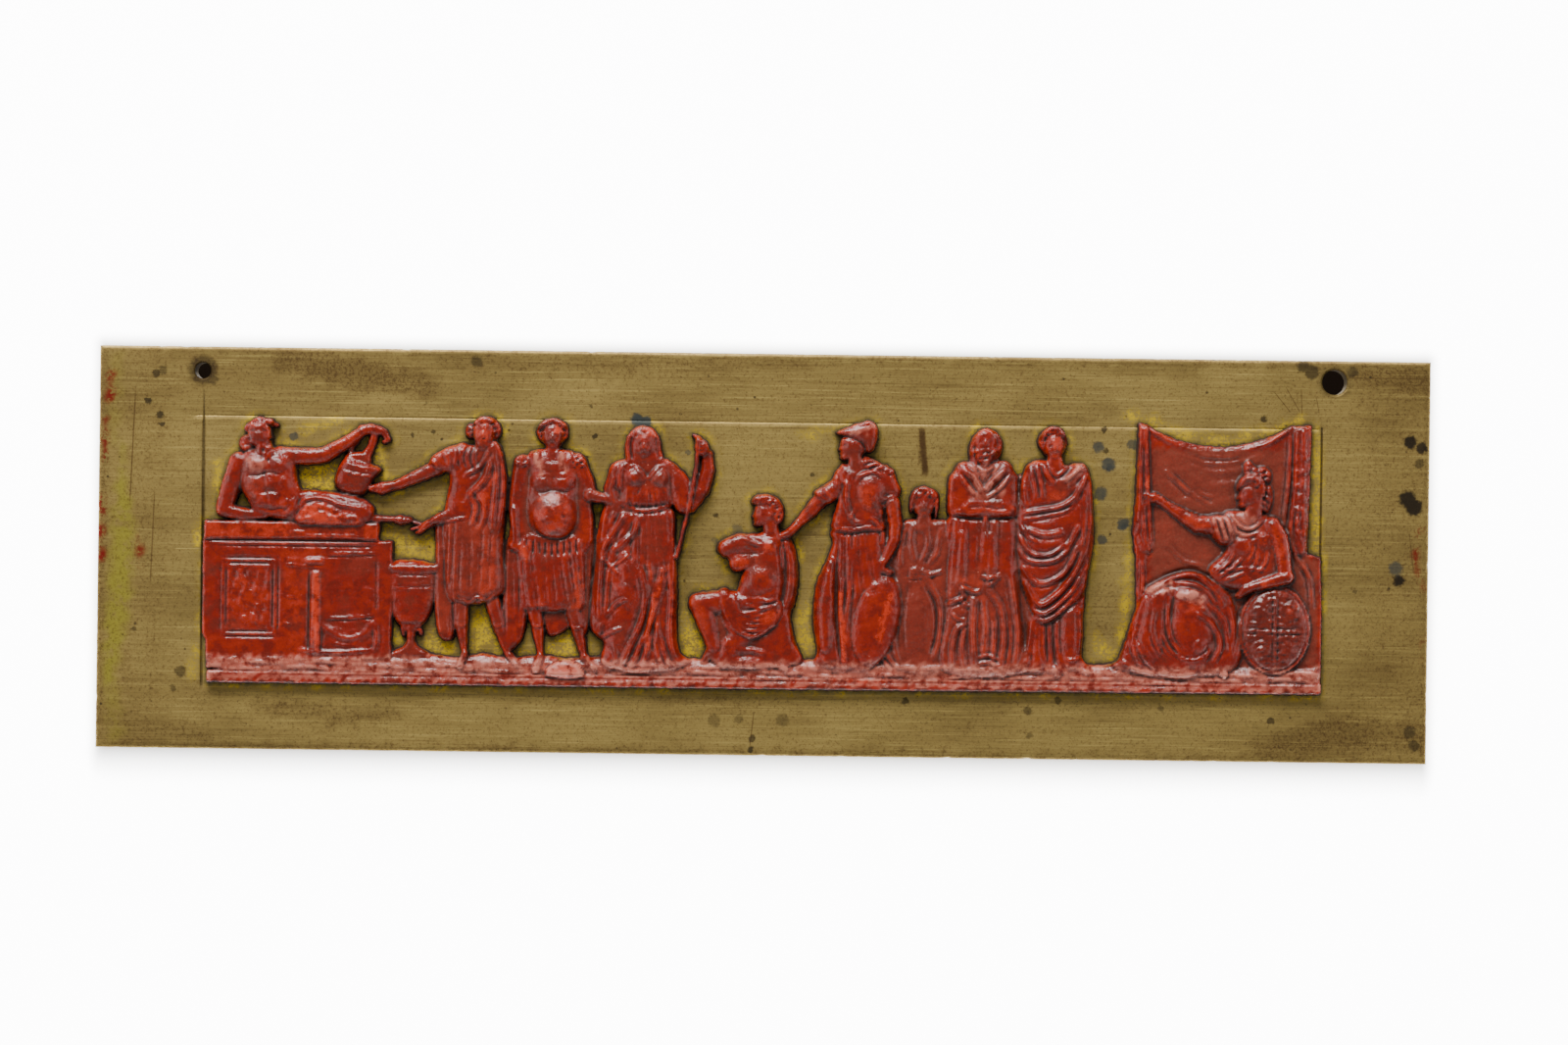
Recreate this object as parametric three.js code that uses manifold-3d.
// A relief plaque: a flat brass plate, drilled for two screws, with a frieze of figures modelled
// on it in wax. Millimetres. +X runs to the right along the frieze, +Z is up, and the relief faces -Y.
// The origin is the middle of the back face, which lies against the wall in the plane y = 0.
import * as THREE from "three";
import { mergeVertices } from "three/addons/utils/BufferGeometryUtils.js";
import Module from "manifold-3d";

const wasm = await Module();
wasm.setup();

// ---- driving dimensions ----

const PLATE = { width: 191, height: 57.7, thickness: 4, wornEdge: 0.2 };
const SCREW_HOLES = [
  { x: -80.7, z: 25.4, radius: 1.15 },
  { x: 81.7, z: 25.8, radius: 1.8 },
];
const HOLE_SIDES = 24;

// The lines scratched into the brass to place the frieze: two uprights and the height of the heads.
const SCRIBED = [
  { from: [-80.5, 19.8], to: [-80.35, -19.8], width: 0.44, depth: 0.2 },
  { from: [79.9, 19], to: [79.95, -1], width: 0.4, depth: 0.2 },
  { from: [-82, 18.95], to: [82, 18.95], width: 0.24, depth: 0.1 },
];

// The ground of the frieze, and how far each layer of the figures stands off the brass.
const GROUND = { left: -79.4, right: 80.1, bottom: -19.3, crest: -17.4, top: -15.1 };
const LAYER = { low: 1.1, behind: 1.5, middle: 2.1, front: 2.7, proud: 3.1 };

const SUNK = 2; // how far the raw forms run down behind the face of the plate before they are cut off there
const BALL_SIDES = 10;
const ROUND_SECTION = [[1, 0], [0.55, 0.9], [-0.55, 0.9], [-1, 0]];
const FOLD_SECTION = [[1, -0.5], [0.1, 1], [-1, -0.5]];

const { hypot, sin, cos, PI } = Math;
const mix = (a, b, t) => a + (b - a) * t;
const between = (a, b, t) => [mix(a[0], b[0], t), mix(a[1], b[1], t)];
const face = -PLATE.thickness; // the front of the brass

// ---- making solids ----

function toSolid(geometry) {
  const bare = new THREE.BufferGeometry()
    .setAttribute("position", geometry.getAttribute("position"))
    .setIndex(geometry.index);
  const merged = mergeVertices(bare, 1e-4);
  return new wasm.Manifold(
    new wasm.Mesh({
      numProp: 3,
      vertProperties: merged.attributes.position.array,
      triVerts: new Uint32Array(merged.index.array),
    }),
  );
}

function toGeometry(solid) {
  const mesh = solid.getMesh();
  return new THREE.BufferGeometry()
    .setAttribute("position", new THREE.BufferAttribute(mesh.vertProperties, 3))
    .setIndex(new THREE.BufferAttribute(mesh.triVerts, 1));
}

// A closed outline that passes smoothly through its points.
function smoothOutline(points) {
  const curve = new THREE.CatmullRomCurve3(
    points.map(([x, z]) => new THREE.Vector3(x, z, 0)),
    true,
    "centripetal",
  );
  const stepsPerSpan = points.length > 7 ? 1 : 2;
  return curve
    .getPoints(points.length * stepsPerSpan)
    .slice(0, -1)
    .map((p) => [p.x, p.y]);
}

// An outline in X and Z raised to a height over the brass, its front edge rounded back by "soft".
function raised(outline, height, soft = 0) {
  const shape = new THREE.Shape(outline.map(([x, z]) => new THREE.Vector2(x, z)));
  const roundDepth = soft * 0.6;
  const geometry = new THREE.ExtrudeGeometry(shape, {
    depth: height + SUNK - roundDepth,
    bevelEnabled: soft > 0,
    bevelThickness: roundDepth,
    bevelSize: soft,
    bevelOffset: -soft,
    bevelSegments: 1,
  });
  return toSolid(geometry.rotateX(PI / 2).translate(0, face + SUNK, 0));
}

const rectangle = (left, bottom, right, top) => [
  [left, bottom], [right, bottom], [right, top], [left, top],
];

const block = (left, bottom, right, top, height) => raised(rectangle(left, bottom, right, top), height);

// A broad form, such as a robe or a chest.
const mass = (points, height, soft = 0.7) => raised(smoothOutline(points), height, soft);

// A bar swept through stations, each with a place, half a width, a rise and a height for its springing line.
function swept(stations, section) {
  const sides = section.length + 2;
  const positions = [];
  stations.forEach(({ at: [x, z], half, rise, lift }, i) => {
    const [px, pz] = stations[Math.max(0, i - 1)].at;
    const [nx, nz] = stations[Math.min(stations.length - 1, i + 1)].at;
    const step = hypot(nx - px, nz - pz);
    const [acrossX, acrossZ] = [-(nz - pz) / step, (nx - px) / step];
    const put = (u, y) => positions.push(x + acrossX * half * u, y, z + acrossZ * half * u);
    put(section[0][0], face + SUNK);
    section.forEach(([u, v]) => put(u, face - lift - rise * v));
    put(section.at(-1)[0], face + SUNK);
  });
  const faces = [];
  const point = (i, k) => i * sides + (k % sides);
  for (let i = 0; i < stations.length - 1; i++) {
    for (let k = 0; k < sides; k++) {
      faces.push(point(i, k), point(i, k + 1), point(i + 1, k + 1));
      faces.push(point(i, k), point(i + 1, k + 1), point(i + 1, k));
    }
  }
  const last = stations.length - 1;
  for (let k = 1; k < sides - 1; k++) {
    faces.push(point(0, 0), point(0, k + 1), point(0, k));
    faces.push(point(last, 0), point(last, k), point(last, k + 1));
  }
  const geometry = new THREE.BufferGeometry()
    .setAttribute("position", new THREE.Float32BufferAttribute(positions, 3))
    .setIndex(faces);
  return toSolid(geometry);
}

// An arm or a leg through its joints, with a radius at each, rounded off at its far end.
function limb(joints, radii, lift, roundness = 0.75) {
  const along = joints.map((at, i) => ({ at, half: radii[i], rise: radii[i] * roundness, lift }));
  const [end, before, radius] = [joints.at(-1), joints.at(-2), radii.at(-1)];
  const reach = (0.75 * radius) / hypot(end[0] - before[0], end[1] - before[1]);
  const tip = { at: between(end, before, -reach), half: radius * 0.62, rise: radius * 0.5 * roundness, lift };
  return swept([...along, tip], ROUND_SECTION);
}

// A ridge of cloth that rises out of the form under it and sinks back at both ends.
function fold(path, lift, half = 0.42, rise = 0.42) {
  const stations = path.map((at, i) => {
    const end = i === 0 || i === path.length - 1;
    return end
      ? { at, half: half * 0.4, rise: rise * 0.3, lift: lift - 0.2 }
      : { at, half, rise, lift };
  });
  return swept(stations, FOLD_SECTION);
}

// A row of hanging folds between two lines, each line given by its two ends.
function pleats(count, [topA, topB], [footA, footB], lift, half = 0.4) {
  return Array.from({ length: count }, (_, i) => {
    const t = count > 1 ? i / (count - 1) : 0.5;
    const [top, foot] = [between(topA, topB, t), between(footA, footB, t)];
    const fullest = between(top, foot, i % 2 ? 0.35 : 0.65);
    return fold([top, fullest, foot], lift, half);
  });
}

// An egg-shaped form, such as a head or a shield, turned by "tilt" degrees.
function ball([x, z], halfWidth, halfHeight, lift, rise, tilt = 0) {
  const profile = [[0, -1], [1, -1], [1, 0], [0.72, 0.68], [0, 1]];
  const geometry = new THREE.LatheGeometry(
    profile.map(([r, h]) => new THREE.Vector2(r, h < 0 ? -SUNK - lift : rise * h)),
    BALL_SIDES,
  );
  geometry.rotateX(PI).scale(halfWidth, 1, halfHeight).rotateY((-tilt * PI) / 180);
  return toSolid(geometry.translate(x, face - lift, z));
}

// ---- the frieze, from left to right ----

// The rough ground that everyone stands on, with a straight lip along its lower edge.
function ground() {
  const { left, right, bottom, crest, top } = GROUND;
  const bumps = Array.from({ length: 34 }, (_, i) => {
    const x = mix(right, left, i / 33);
    return [x, top + 0.35 * sin(i * 2.3) - 0.3];
  });
  const rough = raised([[left, crest - 0.4], [right, crest - 0.4], ...bumps], LAYER.low);
  const rocks = Array.from({ length: 8 }, (_, i) => {
    const x = left + 13 + i * 19.7;
    const [half, high] = [2.6 + sin(i * 1.7), 1.3 + 0.4 * sin(i * 2.9)];
    const [foot, head] = [crest - 0.3, crest + high];
    return raised([[x - half, foot], [x + half, foot], [x + 1, head], [x - 1, head]], 1.7);
  });
  const mound = mass([[-31, -17.6], [-28.2, -15.4], [-25.4, -17.6], [-28.2, -18.2]], LAYER.front, 0.6);
  return [block(left, bottom, right, crest, 2), rough, ...rocks, mound];
}

// The long chest that the river god lies on, with a slab on top and a pilaster between its two panels.
function chest() {
  const body = [[-80.1, 1.2], [-80.1, -12.3], [-79.4, -12.8], [-79.4, -15.4], [-53, -15.4], [-53, 1.2]];
  const [panelTop, panelFoot] = [-1.6, -12.4];
  return [
    raised(body, LAYER.behind),
    block(-80, 1, -55, 3.7, LAYER.middle),
    block(-77.6, panelTop - 0.5, -69.6, panelTop, 1.8),
    block(-77.6, panelFoot, -69.6, panelFoot + 0.5, 1.8),
    block(-77.6, panelFoot, -77.1, panelTop, 1.8),
    block(-70.1, panelFoot, -69.6, panelTop, 1.8),
    block(-64.6, -15.4, -63.2, -2.4, LAYER.middle),
    block(-62.6, -1.2, -55.2, -0.6, 1.8),
    block(-62.6, -9.9, -55.2, -9.4, 1.8),
    limb(
      [
        [-63.6, -10.4], [-61.6, -12.2], [-59.4, -12.9], [-57.2, -12.2], [-55.3, -10.2],
      ],
      [0.5,
      0.7,
      0.8,
      0.7,
      0.5],
      1.4,
    ),
  ];
}

// The nude river god, leaning on one elbow and holding a jug up by its handle.
function riverGod() {
  return [
    mass(
      [
        [-74.4, 13.6], [-70, 14.4], [-67.3, 13], [-66.9, 10.2], [-65.6, 8], [-66.4, 4.2],
        [-69.5, 4.4], [-73.4, 6], [-74.6, 9.2],
      ],
      LAYER.front,
      1.2,
    ),
    limb([[-75.3, 12.2], [-77.2, 5.5], [-71.2, 4.7]], [1.35, 1.15, 0.7], 1.5),
    limb([[-69.2, 13.3], [-63, 13.3], [-57, 17.2]], [1.25, 1, 0.6], 1.5),
    limb([[-56.6, 17.3], [-54.4, 16.4]], [0.75, 0.6], 1.4),
    mass(
      [
        [-66.2, 8.2], [-61, 8.1], [-57, 7.1], [-56, 6.1], [-55.8, 4.9], [-56.5, 3.6], [-66.4, 3.6],
      ],
      LAYER.middle,
      0.9,
    ),
    fold([[-68, 4.2], [-64, 6.2], [-59.8, 5.6], [-57.2, 4.2]], LAYER.middle, 0.8, 0.6),
    fold([[-66.5, 7.4], [-63, 5.2], [-60.4, 4.2]], LAYER.middle, 0.6, 0.5),
    limb([[-57, 4.5], [-53.3, 4.5], [-50.6, 4.3]], [0.75, 0.5, 0.65], 1.3),
    limb([[-71.6, 14.6], [-71.4, 13]], [1.3, 1.4], 1.6),
    ball([-72.5, 16.5], 1.8, 2, 1.7, 1.1),
    ball([-72.2, 14.5], 1.9, 1.7, 1.7, 0.9),
    limb([[-75, 14.6], [-74, 15.4]], [0.5, 0.6], 1.5),
    limb([[-71.8, 16.8], [-70.1, 17.5]], [0.6, 0.4], 1.5),
  ];
}

// The jug, tipped over, with its neck and the loop of its handle.
function jug() {
  return [
    mass(
      [
        [-60.2, 13.1], [-55.1, 11.7], [-55.8, 10.1], [-57.4, 8], [-60, 8.3], [-61.7, 10],
      ],
      LAYER.middle,
      0.8,
    ),
    mass([[-60, 13.4], [-57.6, 13.8], [-56.2, 12.4], [-58, 11.6]], LAYER.behind, 0.4),
    limb([[-57, 13.4], [-56, 14.8], [-55.8, 16.4]], [0.8, 0.5, 0.5], 1.1),
    limb([[-59.3, 13.4], [-58.2, 15.9], [-57.2, 16.8]], [0.4, 0.4, 0.5], 1.1),
  ];
}

// The large urn standing behind the end of the chest.
function urn() {
  return [
    mass(
      [
        [-53.2, -1.8], [-46.9, -1.9], [-46.9, -5.5], [-47.5, -8.6], [-49.2, -10.9], [-51.4, -10.9],
        [-53.2, -8],
      ],
      LAYER.middle,
      0.7,
    ),
    limb([[-53, -2.5], [-46.8, -2.5]], [0.5, 0.5], 1.7),
    limb([[-53, -5.1], [-46.9, -5.1]], [0.3, 0.3], 2),
    limb([[-50.2, -10.8], [-50.3, -13.6]], [1, 0.6], 1.1),
    mass(
      [
        [-50.7, -12.9], [-49.8, -12.9], [-48, -14.9], [-50.4, -15.8], [-52.9, -14.9],
      ],
      LAYER.behind,
      0.4,
    ),
  ];
}

// The bearded man who reaches towards the river god with both hands.
function petitioner() {
  return [
    mass(
      [
        [-43.8, 15.3], [-40, 15.6], [-37.6, 15.9], [-36.6, 12.5], [-36.8, 6], [-37.2, 0],
        [-37, -6.2], [-39.6, -7.6], [-43.7, -7.4], [-46.6, -5], [-46.7, 2.4], [-45.5, 7.6],
        [-45.2, 10.6], [-46, 13.2],
      ],
      LAYER.middle,
    ),
    mass(
      [
        [-46.9, 2.6], [-44.6, 2.6], [-44.2, -6], [-44.4, -12.2], [-45.6, -12.8], [-46.7, -11.6],
        [-47, -5],
      ],
      LAYER.behind,
      0,
    ),
    ...pleats(4, [[-45.4, 3.6], [-39, 4.4]], [[-46, -8.4], [-38, -6.6]], LAYER.middle, 0.55),
    fold([[-37.6, 15.4], [-37.4, 10], [-38, 5], [-37.6, -2]], LAYER.middle, 0.6, 0.6),
    fold([[-44.8, 14.6], [-42.4, 12.4], [-40.4, 9], [-40.6, 4.2]], LAYER.middle, 0.7, 0.7),
    limb([[-44.2, 14.2], [-46.6, 12.7]], [1.5, 1.25], 1.6),
    limb([[-46.6, 12.2], [-50.5, 10.2], [-53.6, 9.1], [-55.9, 8.7]], [1.15, 0.85, 0.7, 0.55], 1.4),
    limb([[-42.6, 6], [-46.4, 4.7], [-49.6, 3.2]], [1.2, 0.85, 0.55], 1.8),
    ball([-40.2, 17.2], 2, 2.2, 1.7, 1.2),
    ball([-42.1, 17.3], 0.9, 0.9, 1.5, 0.5),
    limb([[-43.2, -7.6], [-43, -11], [-42.5, -14.4], [-43.4, -16.6]], [1.25, 1.05, 0.55, 0.6], 1.4),
    limb([[-38.5, -7], [-37.4, -11], [-36.2, -14.8], [-34.4, -16.6]], [1.2, 0.95, 0.7, 0.6], 1.4),
  ];
}

// The officer in a moulded cuirass and strip skirt, with a cloak behind him.
function officer() {
  return [
    mass(
      [
        [-36.3, 2], [-34, 3], [-33.6, -4], [-34.2, -12], [-35.6, -13.6], [-36.9, -11], [-37.2, -4],
      ],
      LAYER.behind,
      0,
    ),
    mass(
      [
        [-26.8, 9], [-24.6, 8], [-24.5, 0], [-24.8, -11.8], [-26, -12.2], [-27, -2],
      ],
      LAYER.behind,
      0,
    ),
    mass(
      [
        [-35, 1], [-26.4, 1], [-25.6, -4], [-25.4, -8.4], [-30, -9.4], [-34, -8.8], [-34.8, -4],
      ],
      LAYER.middle,
    ),
    raised([[-30.2, -11.9], [-27.9, -10.7], [-27.4, -8.5], [-30.6, -8.5]], LAYER.low),
    ...pleats(5, [[-33.8, 0.8], [-27, 0.8]], [[-34.2, -8], [-26.6, -8]], LAYER.middle, 0.55),
    mass(
      [
        [-33.6, 14.4], [-27.2, 14.5], [-26.5, 10.6], [-26.7, 5], [-28, 2.2], [-30.2, 1.6],
        [-32.6, 2.4], [-34.1, 5.4], [-33.9, 10.4],
      ],
      2.4,
      1,
    ),
    ball([-30.1, 5.4], 3.2, 3.5, 1.8, 1.3),
    limb([[-34.4, 12.6], [-35.7, 7.6], [-35.4, 1.6]], [1.35, 1, 0.75], 1.5),
    limb([[-27, 12.6], [-24.9, 8.6], [-21.2, 7.2]], [1.35, 1, 0.7], 1.7),
    limb([[-30.3, 15], [-30.3, 13.4]], [1, 1.3], 1.7),
    ball([-30.4, 16.9], 1.8, 2.2, 1.7, 1.2),
    ball([-32.1, 17.4], 0.9, 1.2, 1.5, 0.5),
    ball([-28.7, 16.9], 0.9, 1.4, 1.5, 0.5),
    limb([[-32.4, -8.6], [-32, -11.4], [-31.6, -14.8], [-32.2, -16.8]], [1.1, 0.9, 0.55, 0.65], 1.5),
    limb([[-27.2, -8.4], [-26, -11.6], [-25.4, -14.8], [-23.8, -16.6]], [1.1, 0.9, 0.55, 0.6], 1.5),
  ];
}

// The veiled woman, who holds a long staff in her raised hand.
function veiledWoman() {
  return [
    mass(
      [
        [-20.3, 6.4], [-13.4, 6.4], [-12.6, 2], [-12.2, -5], [-12.3, -11], [-10.6, -15.4],
        [-17, -17.2], [-23.2, -16], [-22.6, -12.6], [-24.6, -10.8], [-24, -3], [-23.9, 3],
        [-22.6, 7.6],
      ],
      LAYER.middle,
      1,
    ),
    ...pleats(5, [[-19.6, 6], [-13.8, 6]], [[-23.6, -9.6], [-13.2, -12.6]], LAYER.middle, 0.5),
    ...pleats(3, [[-20.4, -4], [-14.8, -5]], [[-22, -16], [-12.4, -16]], LAYER.middle, 0.6),
    mass(
      [
        [-21.2, 13.1], [-17, 13.8], [-13.2, 13.1], [-13.2, 9], [-13.6, 6], [-20.2, 6], [-20.6, 8.6],
        [-22.8, 9], [-22.4, 11.4],
      ],
      2.4,
      0.8,
    ),
    mass(
      [
        [-14, 13.2], [-12, 12.1], [-10.4, 10.2], [-9.9, 7.6], [-10.6, 5.9], [-12.4, 6.4],
        [-13.8, 8.6],
      ],
      2.3,
      0.7,
    ),
    limb([[-10.3, 7.4], [-8.3, 11.6], [-8.3, 14.3]], [1.55, 1.3, 0.95], 1.4),
    limb([[-8.4, 14.4], [-9.3, 16.6]], [0.9, 0.45], 1.4),
    limb([[-9.4, 15], [-10.4, 8], [-11.6, 2], [-12.4, -3]], [0.35, 0.35, 0.35, 0.35], 2.2),
    mass(
      [
        [-19.6, 12.8], [-19.9, 15.4], [-19.2, 17.4], [-17.4, 18.4], [-15.6, 17.6], [-14.7, 15.4],
        [-14.2, 13], [-15.4, 12.6], [-17.2, 12], [-18.8, 12.4],
      ],
      2.3,
      0.65,
    ),
    ball([-17.3, 15.7], 1.4, 2, 2.1, 0.9),
  ];
}

// The captive, down on one knee with arms crossed on the chest.
function captive() {
  return [
    mass(
      [
        [2.2, 3.4], [3.9, 3], [4.9, 0.4], [5.2, -3.4], [4.9, -6.4], [4.2, -8.8], [4.9, -12],
        [5.8, -15.6], [1.4, -16.2], [1, -8], [2, -2],
      ],
      LAYER.behind,
      0,
    ),
    mass(
      [
        [-0.6, 2.8], [2.4, 2.6], [3, -0.6], [2.9, -4], [2.6, -8.6], [-2.6, -8], [-3.6, -5.8],
        [-2.8, -2.4],
      ],
      LAYER.front,
      1,
    ),
    limb([[-5.4, 1.2], [-1.4, 1.6], [1, 1.4]], [1.3, 1.25, 1.1], 2),
    limb([[-3.9, -1.4], [-0.6, -0.4], [1.6, 0]], [1.25, 0.95, 0.8], 2),
    limb([[-1, -8.2], [-8.6, -6.8]], [2.5, 1.55], 1.4, 0.55),
    limb([[-9, -7], [-7.4, -13.4], [-9.2, -15.2]], [1.6, 1.05, 0.6], 1.4),
    limb([[-0.4, -9], [-5.2, -15]], [2.7, 1.6], 1.5, 0.5),
    limb([[-4.8, -15.6], [3.6, -15.4]], [1.1, 0.8], 1.6),
    fold([[-5.6, -5], [-3.6, -8.2], [0, -9.4], [3, -8.6]], 2.5, 0.7, 0.5),
    fold([[4, 2.4], [4, -2], [3.6, -8], [4.6, -14.6]], LAYER.behind, 0.7, 0.6),
    ball([0.7, 6.4], 2, 2, 1.7, 1.1),
    limb([[-1, 6.4], [-1.7, 5.6]], [0.8, 0.4], 1.6),
    limb([[0.8, 4.6], [1, 3]], [1, 1.1], 1.8),
  ];
}

// The helmeted woman with a shield, whose hand is on the captive's shoulder.
function guardian() {
  return [
    mass(
      [
        [10.1, 3.8], [17, 4], [17.6, 0], [17.4, -6], [15, -16.6], [7.2, -16.2], [7.9, -14],
        [7.3, -9], [7.7, -4.4], [9.5, -0.4],
      ],
      LAYER.middle,
    ),
    ...pleats(4, [[10.9, 3.6], [15.6, 3.6]], [[8.4, -15.6], [13.6, -9]], LAYER.middle, 0.55),
    mass(
      [
        [10.9, 12.7], [14, 13.2], [17.7, 12.9], [18.6, 9.4], [17, 6], [16.7, 3.6], [10.2, 3.6],
        [10.7, 8],
      ],
      LAYER.front,
      1,
    ),
    limb([[11, 11.2], [8.4, 8.9]], [1.6, 1.4], 1.7),
    limb([[8.2, 8.4], [6, 5.6], [3.6, 3]], [1.3, 1, 0.65], 1.5),
    limb([[17.6, 10.8], [18.6, 8.8]], [1.7, 1.35], 1.7),
    limb([[18.6, 8.4], [18.9, 4.2], [17.3, -0.8]], [1.2, 1.05, 0.7], 1.8),
    limb([[12.9, 14], [13.1, 12.6]], [1.1, 1.2], 1.8),
    limb([[14.9, 13.8], [17.6, 12.2]], [0.9, 0.8], 1.7),
    ball([13, 15.8], 2.2, 2.3, 1.7, 1),
    mass(
      [
        [10.1, 17.7], [12, 18.5], [15, 19.4], [16.2, 18.4], [15.9, 15.4], [14.2, 15], [12, 16.8],
      ],
      LAYER.front,
      0.35,
    ),
    ball([16.2, -9.4], 3.4, 6.9, 2.2, 1, -14),
  ];
}

// The small curly-headed figure between the shield and the elder.
function child() {
  return [
    mass(
      [
        [20, 5], [23, 5.6], [27, 5], [27.4, -3], [26.6, -10], [26.8, -16.4], [18, -16.4],
        [18.6, -3], [19, 1.6],
      ],
      LAYER.behind,
      0,
    ),
    ball([21.9, -9.6], 3.2, 6.2, 1.3, 0.8),
    fold([[23.2, -3], [25, -6.6], [25.2, -11], [24, -15]], LAYER.behind, 0.5, 0.5),
    limb([[19.4, -1], [22.4, -2.4], [26.4, -1.6]], [0.9, 0.9, 0.8], 1.5),
    ball([22.9, 7.6], 2.1, 2.3, 1.4, 1),
    limb([[22.8, 6], [22.8, 4.6]], [1.2, 1.3], 1.3),
  ];
}

// The bearded elder in a long robe, with folded arms.
function elder() {
  return [
    mass(
      [
        [26.8, 6.2], [36, 6.2], [36.6, 0], [36.7, -8], [37.6, -16.4], [25.6, -16.6], [26, -8],
        [26.3, 0],
      ],
      LAYER.middle,
    ),
    ...pleats(4, [[28, 5.2], [35.4, 5.2]], [[27.4, -5.4], [35.8, -2.6]], LAYER.middle, 0.5),
    ...pleats(4, [[28, -6.6], [35.8, -3.6]], [[27.2, -16], [36.2, -16]], LAYER.middle, 0.6),
    mass(
      [
        [28.4, 13.8], [31.8, 14.2], [35, 13.7], [36.2, 10.6], [36.7, 6.8], [35, 5.6], [28, 5.6],
        [26.2, 7], [26.6, 11],
      ],
      2.5,
      1,
    ),
    limb([[27.9, 7.3], [31.6, 7.6], [35.4, 6.9]], [1.4, 1.2, 1.4], 2.1),
    fold([[28.4, 12.8], [30, 11], [31.6, 9.2]], 2.5, 0.5, 0.5),
    fold([[34.8, 12.8], [33.2, 11], [31.6, 9.2]], 2.5, 0.5, 0.5),
    ball([31.7, 16.2], 2.4, 2.5, 1.7, 0.8),
    ball([31.7, 16.5], 1.7, 2, 2, 0.9),
    limb([[31.8, 15], [31.8, 13.2]], [1.6, 1.1], 2.1),
  ];
}

// The younger man wrapped in a toga.
function magistrate() {
  return [
    mass(
      [
        [38, 13.8], [41.6, 14], [45.8, 13.9], [46.9, 10.6], [47.4, 4], [46.8, -1.6], [45.9, -7],
        [42, -9.4], [38.8, -9], [36.9, -4], [36.2, 4], [36.5, 10.4],
      ],
      2.3,
      1,
    ),
    fold([[37.2, 6.6], [41, 7], [44.4, 9.4], [46, 12.4]], 2.3, 0.7, 0.7),
    fold([[38, 13], [39.6, 11], [40.4, 8]], 2.3, 0.5, 0.5),
    fold([[39.4, 13.2], [41.8, 10.8], [44.8, 13.2]], 2.3, 0.4, 0.4),
    fold([[36.9, 4], [38.6, 2.6], [41, 3.4], [45.8, 8.6]], 2.3, 0.55, 0.6),
    fold([[36.8, 1.6], [39.4, -0.2], [42.4, 1.2], [46.2, 5.6]], 2.3, 0.55, 0.6),
    fold([[37.2, -2], [39.4, -5.2], [42, -4], [46, 2]], 2.3, 0.55, 0.6),
    fold([[38.4, -7.4], [40, -8.8], [42.6, -7], [45.6, -3.6]], 2.3, 0.5, 0.5),
    mass(
      [
        [38.2, -6], [45.6, -6], [45.8, -12], [46.4, -16.2], [37.4, -16.4], [37.9, -11],
      ],
      LAYER.behind,
      0,
    ),
    ...pleats(4, [[38.8, -8.6], [45, -8.2]], [[38.2, -16], [45.6, -16]], LAYER.behind, 0.75),
    ball([41.4, 16.4], 2.1, 2.4, 1.7, 1.1),
    limb([[41.5, 14.6], [41.6, 13.2]], [1, 1.3], 1.8),
  ];
}

// The cloth of honour hung between two posts, which sags along its upper edge.
function canopy() {
  const [sagLow, corner] = [16.3, 19.3];
  const [from, to] = [54.9, 75.2];
  const sag = Array.from({ length: 13 }, (_, i) => {
    const t = i / 12;
    return [mix(from, to, t), mix(corner, sagLow, sin(PI * t) ** 0.75)];
  });
  const sides = [
    [78.3, corner], [78.1, 0.8], [80, 0.8], [80, -16.6], [53.6, -16.6], [53.4, 0.4], [53.1, 3],
    [53.7, corner],
  ];
  const swag = (low, half) =>
    fold(
      [0, 0.2, 0.5, 0.8, 1].map((t) => [mix(55.4, 74.8, t), mix(18.2, low, sin(PI * t))]),
      LAYER.behind,
      half,
      0.5,
    );
  return [
    raised([...sag, ...sides], LAYER.behind),
    swag(14.6, 0.5),
    swag(12.4, 0.45),
    limb([[54.4, 18.6], [54.5, 8], [54.3, -3]], [0.85, 1.1, 1], 1.4),
    limb([[77, 18.6], [76.8, 8], [76.9, 1.6]], [1.2, 1.3, 1.1], 1.4),
    ...pleats(4, [[54.4, 17], [54.8, 17]], [[55.4, 8], [63, -1]], LAYER.behind, 0.45),
    ...pleats(3, [[75.4, 17.6], [76.6, 17.4]], [[76, 3], [79.4, -3]], 1.8, 0.5),
  ];
}

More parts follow.
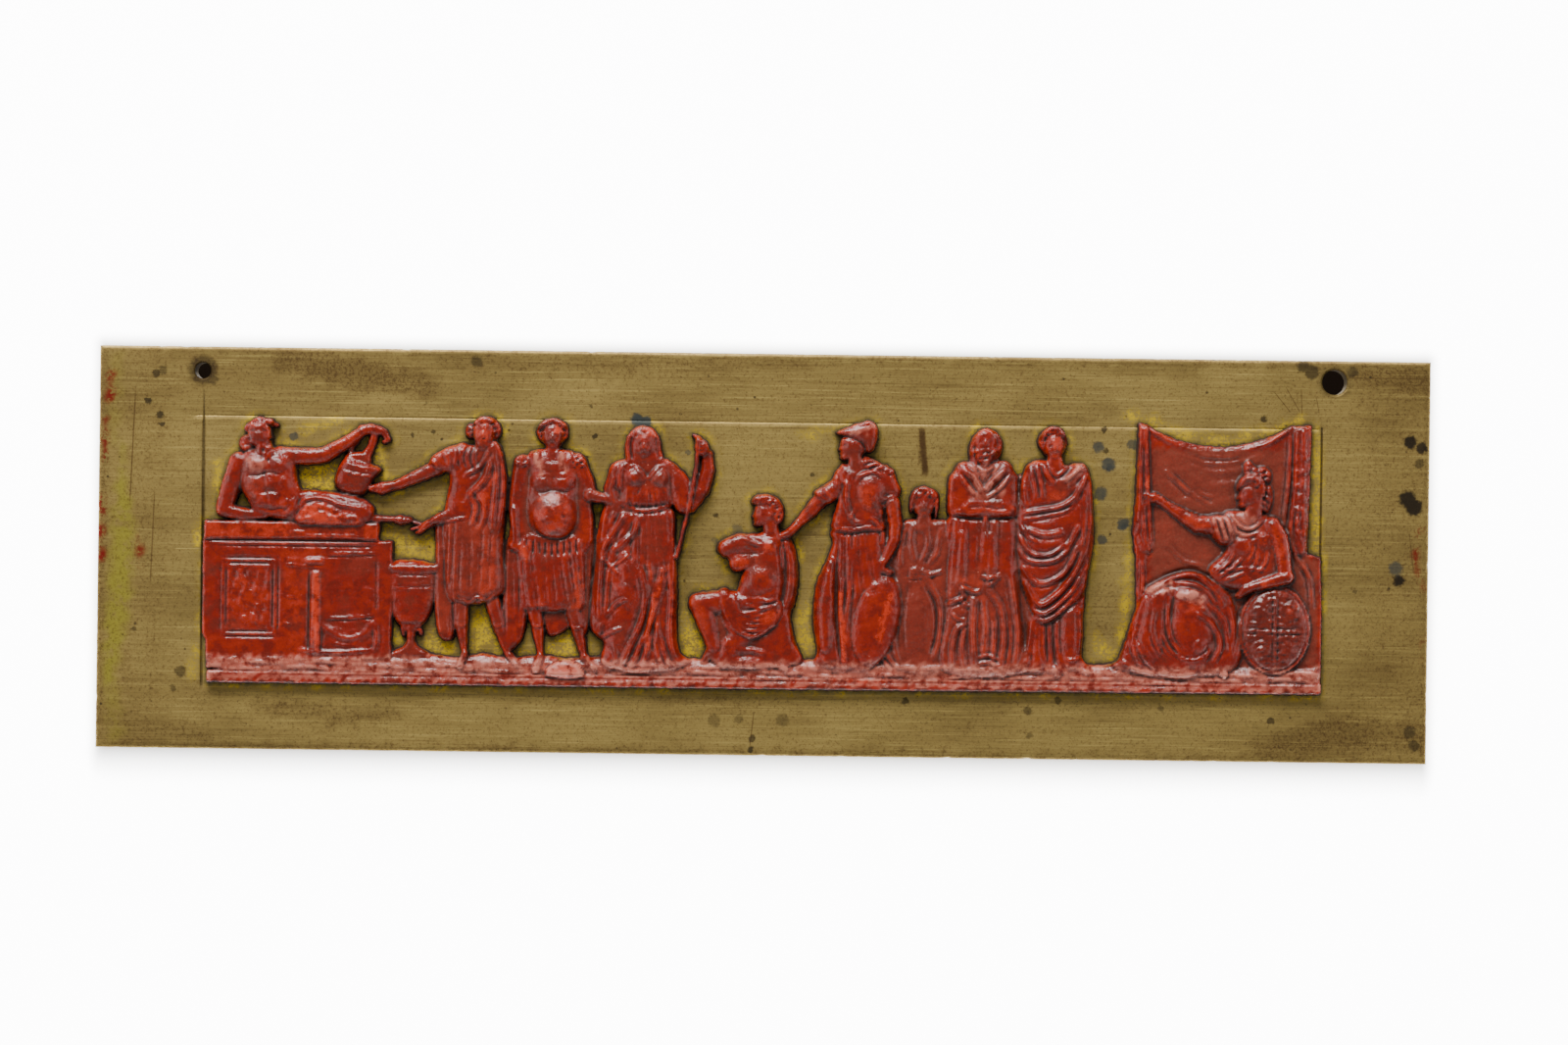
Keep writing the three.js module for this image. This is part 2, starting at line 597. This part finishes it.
// The seated woman in a plumed helmet, one arm held out and the other on an oval shield.
function enthroned() {
  return [
    mass(
      [
        [65.6, 6.3], [69, 7.2], [73.4, 6.2], [75.4, 2], [75.4, -4], [70, -5], [64, -4.4],
        [65.2, 1.4],
      ],
      LAYER.front,
      1,
    ),
    limb([[66, 5], [61.8, 4.9], [57.6, 7.8], [54.9, 9.2]], [1.45, 1.45, 0.8, 0.5], 2),
    limb([[73.6, 4.6], [75, -1.2], [69.6, -3.4]], [1.5, 1.25, 0.75], 2.2),
    ...pleats(4, [[67.4, 6], [72.6, 5.6]], [[66.2, -3], [72.4, -2]], LAYER.front, 0.45),
    mass(
      [
        [55.2, -4], [58, -2.2], [62, -1.7], [66, -4], [68.6, -9.4], [69, -15.8], [62, -17],
        [55, -16.6], [50.4, -15.2], [52.4, -10.8], [53.7, -6.4],
      ],
      LAYER.middle,
      1,
    ),
    ball([57.2, -6.2], 2.8, 3.4, 1.9, 1),
    ball([61.8, -9], 4.2, 6, 1.9, 1.1),
    fold([[63, -3.2], [66, -7], [65.6, -12], [61.4, -15.6]], 2.1, 0.6, 0.6),
    fold([[57.8, -9.6], [57.4, -13], [59.6, -15.6]], 2.1, 0.6, 0.6),
    fold([[55.2, -8.4], [54.2, -12], [55.6, -15.6]], 2.1, 0.6, 0.6),
    fold([[66.4, -5.4], [68, -9], [67.6, -14]], 2.1, 0.5, 0.5),
    ball([73.3, -9.7], 5.1, 6.2, 2.1, 0.4),
    ball([73.3, -9.7], 4.3, 5.4, 2.3, 0.6),
    fold([[73.3, -4.6], [73.3, -9.8], [73.3, -14.8]], 2.8, 0.4, 0.3),
    fold([[69.2, -10], [73.3, -9.9], [77.4, -10]], 2.8, 0.4, 0.3),
    ball([69.7, 10], 2.1, 2.2, 1.9, 1.1),
    limb([[69.6, 12], [69.4, 13.6]], [1.4, 0.7], 1.7),
    limb([[70.4, 8.2], [70, 6.4]], [1.2, 1.3], 2),
  ];
}

// Places inside the outline where the brass shows between the figures.
function openings() {
  return [
    [[-75.3, 6.7], [-74.4, 8.2], [-73.4, 6.3]],
    [[-58.5, 14], [-57.9, 15.5], [-57.1, 16.1], [-56.8, 15], [-57.6, 13.9]],
    [[-41.4, -8.6], [-39.1, -8.5], [-38.4, -11], [-37.1, -14.9], [-41.2, -15.1], [-40.7, -11.4]],
    [[-30.3, -12.2], [-28.2, -10.9], [-27.2, -12.4], [-26.6, -15], [-30.5, -15.1]],
    [[-12.9, 5.4], [-11.8, 5.4], [-12.1, 1]],
  ];
}

function waxRelief() {
  const leftHalf = [chest, riverGod, jug, urn, petitioner, officer, veiledWoman, captive];
  const rightHalf = [guardian, child, elder, magistrate, canopy, enthroned];
  const forms = [ground, ...leftHalf, ...rightHalf].flatMap((figure) => figure());
  const whole = forms.reduce((sum, one) => sum.add(one));
  const gaps = openings().map((gap) => raised(smoothOutline(gap), 2 * LAYER.proud));
  const pierced = gaps.reduce((left, gap) => left.subtract(gap), whole);
  const behindFace = new THREE.BoxGeometry(PLATE.width, 2 * SUNK, PLATE.height).translate(0, face + SUNK, 0);
  return pierced.subtract(toSolid(behindFace));
}

// ---- the plate ----

// A V-shaped scratch along a straight line on the front of the plate.
function scratch({ from, to, width, depth }) {
  const length = hypot(to[0] - from[0], to[1] - from[1]);
  const section = new THREE.Shape([
    new THREE.Vector2(-width / 2, 0.5),
    new THREE.Vector2(0, -depth),
    new THREE.Vector2(width / 2, 0.5),
  ]);
  const geometry = new THREE.ExtrudeGeometry(section, { depth: length, bevelEnabled: false });
  const along = new THREE.Vector3((to[0] - from[0]) / length, 0, (to[1] - from[1]) / length);
  const outward = new THREE.Vector3(0, -1, 0);
  const across = new THREE.Vector3().crossVectors(outward, along);
  geometry.applyMatrix4(new THREE.Matrix4().makeBasis(across, outward, along));
  return toSolid(geometry.translate(from[0], face, from[1]));
}

function brassPlate() {
  const { width, height, thickness, wornEdge } = PLATE;
  const outline = rectangle(-width / 2, -height / 2, width / 2, height / 2);
  const shape = new THREE.Shape(outline.map(([x, z]) => new THREE.Vector2(x, z)));
  for (const { x, z, radius } of SCREW_HOLES) {
    shape.holes.push(new THREE.Path().absarc(x, z, radius, 0, 2 * PI, true));
  }
  const geometry = new THREE.ExtrudeGeometry(shape, {
    depth: thickness - 2 * wornEdge,
    curveSegments: HOLE_SIDES / 2,
    bevelThickness: wornEdge,
    bevelSize: wornEdge,
    bevelOffset: -wornEdge,
    bevelSegments: 1,
  });
  const blank = toSolid(geometry.rotateX(PI / 2).translate(0, -wornEdge, 0));
  return SCRIBED.map(scratch).reduce((left, cut) => left.subtract(cut), blank);
}

// ---- the object ----

const finish = (name, color, metalness, roughness) =>
  new THREE.MeshStandardMaterial({ name, color, metalness, roughness });

const brass = finish("brass", 0x8c7640, 0.9, 0.45);
const wax = finish("red_wax", 0xa02618, 0, 0.35);

function named(name, solid, material) {
  const mesh = new THREE.Mesh(toGeometry(solid), material);
  mesh.name = name;
  return mesh;
}

const plaque = new THREE.Group();
plaque.add(named("brass_plate", brassPlate(), brass), named("wax_relief", waxRelief(), wax));

export default plaque;
